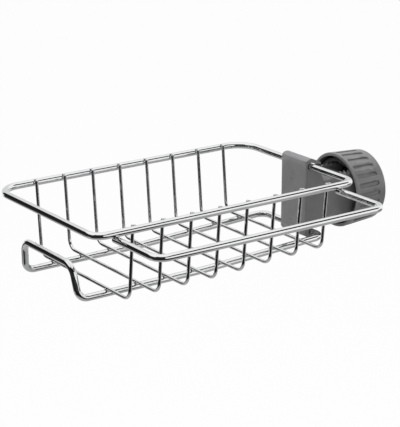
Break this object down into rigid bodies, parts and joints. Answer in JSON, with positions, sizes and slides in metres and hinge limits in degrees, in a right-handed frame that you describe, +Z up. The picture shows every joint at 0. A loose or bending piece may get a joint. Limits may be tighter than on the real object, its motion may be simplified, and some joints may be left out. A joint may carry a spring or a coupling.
{
  "type": "sponge holder",
  "caption": "Wire basket with a towel bar and a raised end bar, carried by a screw clamp whose ribbed knob presses a padded block against an upright pipe.",
  "frame": {"origin": "on the axis of the pipe that the holder is clamped to, at the height of the knob's axis", "axes": "+Z up the pipe, +X from the basket through the pipe to the knob along the basket's length, +Y away from the towel bar"},
  "size_m": [0.2945, 0.1899, 0.0657],
  "materials": {
    "chrome_wire": "polished chrome plating on steel wire",
    "grey_plastic": "satin moulded plastic",
    "rubber_pad": "matte"
  },
  "bodies": {
    "bracket": {"clamp_bracket": "grey_plastic", "saddle_pad": "rubber_pad"},
    "basket": {"rim_wire": "chrome_wire", "base_frame_wire": "chrome_wire", "towel_bar": "chrome_wire", "cross_wire_1": "chrome_wire", "cross_wire_2": "chrome_wire", "cross_wire_3": "chrome_wire", "cross_wire_4": "chrome_wire", "cross_wire_5": "chrome_wire", "cross_wire_6": "chrome_wire", "cross_wire_7": "chrome_wire", "cross_wire_8": "chrome_wire"},
    "pusher": {"pressure_block": "grey_plastic", "pressure_pad": "rubber_pad"},
    "knob": {"clamp_knob": "grey_plastic"}
  },
  "joints": [
    {"name": "pad_slide", "type": "slide", "parent": "bracket", "child": "pusher", "axis": [1, 0, 0], "range_m": [-0.008, 0.012]},
    {"name": "knob_turn", "type": "hinge", "parent": "pusher", "child": "knob", "pos_m": [0, 0, 0], "axis": [1, 0, 0], "range_deg": [-720, 1080]},
    {"name": "basket_shift", "type": "slide", "parent": "bracket", "child": "basket", "axis": [0, 1, 0], "range_m": [-0.022, 0.0045]}
  ],
  "couplings": [
    {"joint": "pad_slide", "follows": "knob_turn", "m_per_rad": 0.00063662}
  ]
}
